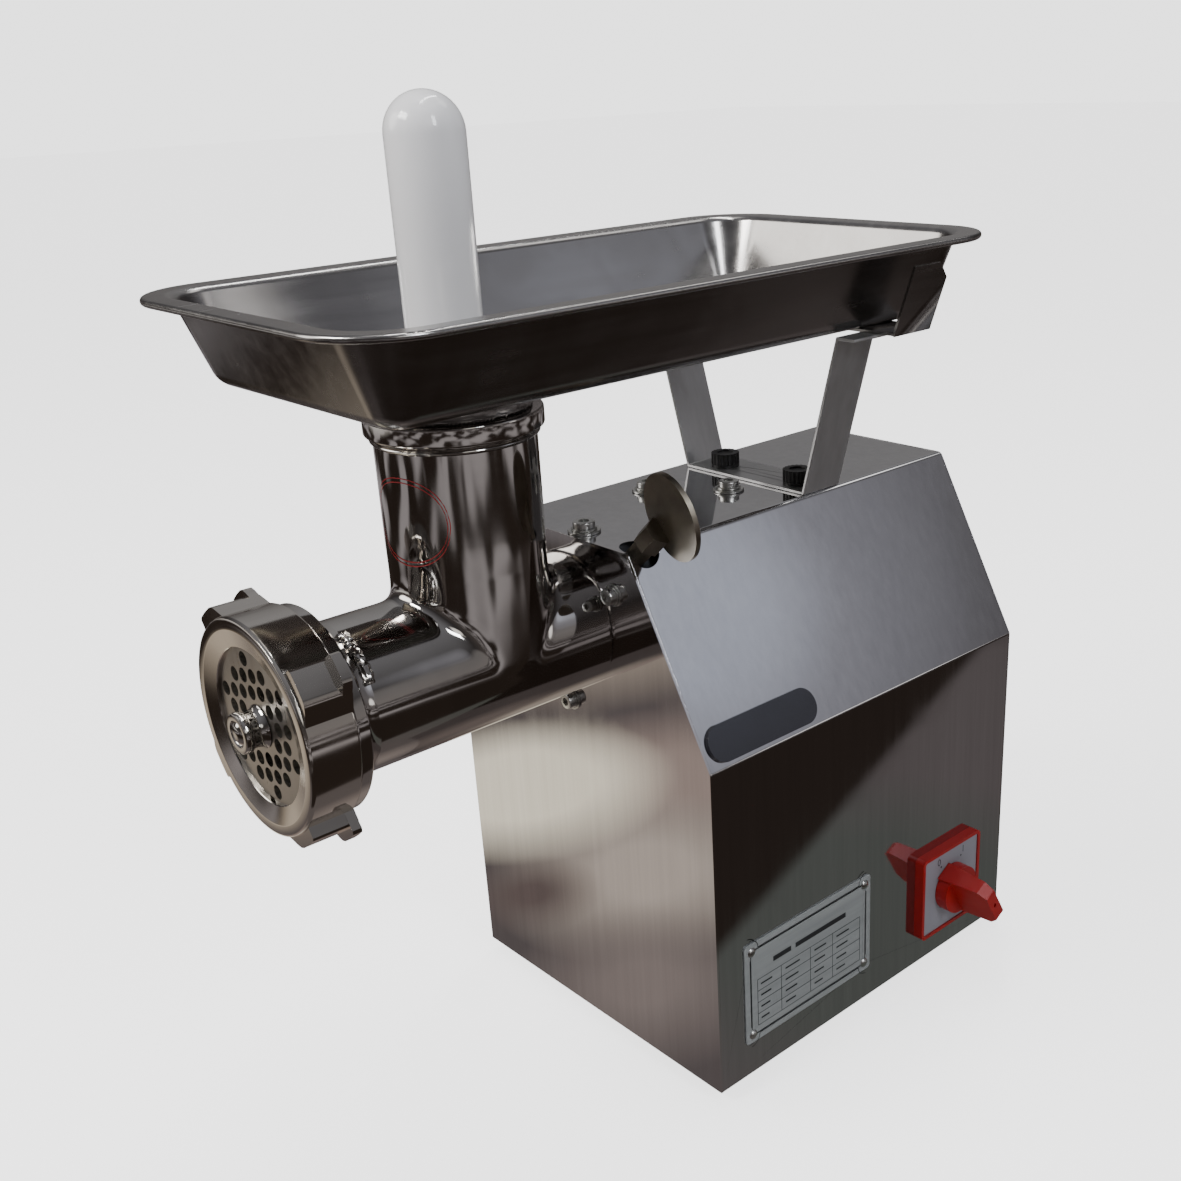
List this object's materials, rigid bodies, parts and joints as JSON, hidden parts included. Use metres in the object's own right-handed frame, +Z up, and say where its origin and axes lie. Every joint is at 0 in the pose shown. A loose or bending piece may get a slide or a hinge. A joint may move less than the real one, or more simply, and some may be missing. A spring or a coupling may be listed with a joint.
{
  "type": "electric meat grinder",
  "caption": "Countertop electric meat grinder: folded sheet housing with gearmotor, cast feed head with auger, knife, hole plate and ring, lift-off tray on a bent strip stand, and a stomper.",
  "frame": {"origin": "centre of the housing's footprint, on the plane that the feet stand on", "axes": "+Z up; -Y along the barrel, towards the ring; +X towards the switch side"},
  "size_m": [0.287, 0.513, 0.5891],
  "materials": {
    "sheet": "polished stainless sheet",
    "sheet_dull": "zinc plated sheet",
    "cast_polished": "hand-polished casting",
    "tray_steel": "satin pressed sheet",
    "stand_steel": "satin strip",
    "tool_steel": "ground",
    "bolt_steel": "zinc plated",
    "nickel": "dull nickel plated",
    "iron": "cast, machined faces",
    "shaft_steel": "turned",
    "gear_steel": "hardened, oiled",
    "laminations": "varnished laminations",
    "winding": "varnished winding",
    "motor_paint": "satin paint",
    "bearing_steel": "ground",
    "bronze": "oiled bronze",
    "rubber": "moulded rubber",
    "black_plastic": "moulded, matt",
    "ivory_plastic": "moulded",
    "red_plastic": "moulded, glossy",
    "face_plastic": "satin",
    "white_plastic": "moulded, glossy",
    "label": "brushed, printed",
    "badge": "domed, glossy"
  },
  "bodies": {
    "housing": {"cover_wrap": "sheet", "front_panel": "sheet", "rear_panel": "sheet", "base_plate": "sheet_dull", "panel_screws": "bolt_steel", "foot_1": "rubber", "foot_2": "rubber", "foot_3": "rubber", "foot_4": "rubber", "foot_screws": "bolt_steel", "gearbox_case": "iron", "gearbox_cover": "iron", "oil_seal": "rubber", "bearings": "bearing_steel", "stator": "winding", "motor_can": "motor_paint", "motor_bracket": "sheet_dull", "capacitor": "ivory_plastic", "terminal_block": "ivory_plastic", "cable_gland": "black_plastic", "gland_nut": "black_plastic", "switch_frame": "red_plastic", "switch_face": "face_plastic", "switch_body": "black_plastic", "data_plate": "label", "plate_rivets": "bolt_steel", "badge": "badge", "front_bolts": "bolt_steel", "front_washers": "bolt_steel", "top_bolts": "bolt_steel", "top_washers": "bolt_steel", "stand_strip": "stand_steel", "tray_cradle": "stand_steel", "stand_nuts": "bolt_steel"},
    "head": {"head_casting": "cast_polished", "head_bush": "bronze", "plate_pin": "tool_steel", "hole_plate": "tool_steel"},
    "ring": {"ring_nut": "cast_polished"},
    "auger": {"auger": "cast_polished", "knife": "tool_steel"},
    "rotor": {"motor_shaft": "shaft_steel", "rotor_core": "laminations", "motor_fan": "black_plastic"},
    "layshaft": {"layshaft": "shaft_steel", "lay_gear": "gear_steel"},
    "output": {"output_shaft": "shaft_steel", "output_gear": "gear_steel"},
    "tray": {"feed_tray": "tray_steel", "tray_rim_bead": "tray_steel", "tray_spout": "tray_steel"},
    "stomper": {"stomper": "white_plastic"},
    "clamp": {"clamp_screw": "nickel", "clamp_disc": "nickel"},
    "switch_knob": {"switch_knob": "red_plastic"},
    "stand_knob_1": {"stand_knob_1": "black_plastic"},
    "stand_knob_2": {"stand_knob_2": "black_plastic"}
  },
  "joints": [
    {"name": "motor_spin", "type": "hinge", "parent": "housing", "child": "rotor", "pos_m": [0, 0, 0.1896], "axis": [0, 1, 0], "continuous": true},
    {"name": "lay_spin", "type": "hinge", "parent": "housing", "child": "layshaft", "pos_m": [0, 0, 0.2346], "axis": [0, 1, 0], "continuous": true},
    {"name": "output_spin", "type": "hinge", "parent": "housing", "child": "output", "pos_m": [0, 0, 0.2916], "axis": [0, 1, 0], "continuous": true},
    {"name": "head_slide", "type": "slide", "parent": "housing", "child": "head", "axis": [0, -1, 0], "range_m": [0, 0.12]},
    {"name": "auger_spin", "type": "hinge", "parent": "head", "child": "auger", "pos_m": [0, -0.2, 0.2916], "axis": [0, 1, 0], "continuous": true},
    {"name": "ring_turn", "type": "hinge", "parent": "head", "child": "ring", "pos_m": [0, -0.33, 0.2916], "axis": [0, 1, 0], "continuous": true},
    {"name": "tray_lift", "type": "slide", "parent": "head", "child": "tray", "axis": [0, 0, 1], "range_m": [0, 0.08]},
    {"name": "stomper_lift", "type": "slide", "parent": "head", "child": "stomper", "axis": [0, 0, 1], "range_m": [0, 0.25]},
    {"name": "clamp_turn", "type": "hinge", "parent": "housing", "child": "clamp", "pos_m": [0, -0.128, 0.2916], "axis": [0.7342, 0, 0.6789], "continuous": true},
    {"name": "switch_turn", "type": "hinge", "parent": "housing", "child": "switch_knob", "pos_m": [0.12, 0.076, 0.0625], "axis": [-1, 0, 0], "range_deg": [0, 60]},
    {"name": "stand_knob_1_turn", "type": "hinge", "parent": "housing", "child": "stand_knob_1", "pos_m": [-0.026, 0.0185, 0.347], "axis": [0, 0, 1], "continuous": true},
    {"name": "stand_knob_2_turn", "type": "hinge", "parent": "housing", "child": "stand_knob_2", "pos_m": [0.039, 0.0185, 0.347], "axis": [0, 0, 1], "continuous": true}
  ],
  "couplings": [
    {"joint": "lay_spin", "follows": "motor_spin", "ratio": -0.33333},
    {"joint": "output_spin", "follows": "motor_spin", "ratio": 0.11905},
    {"joint": "auger_spin", "follows": "motor_spin", "ratio": 0.11905}
  ]
}
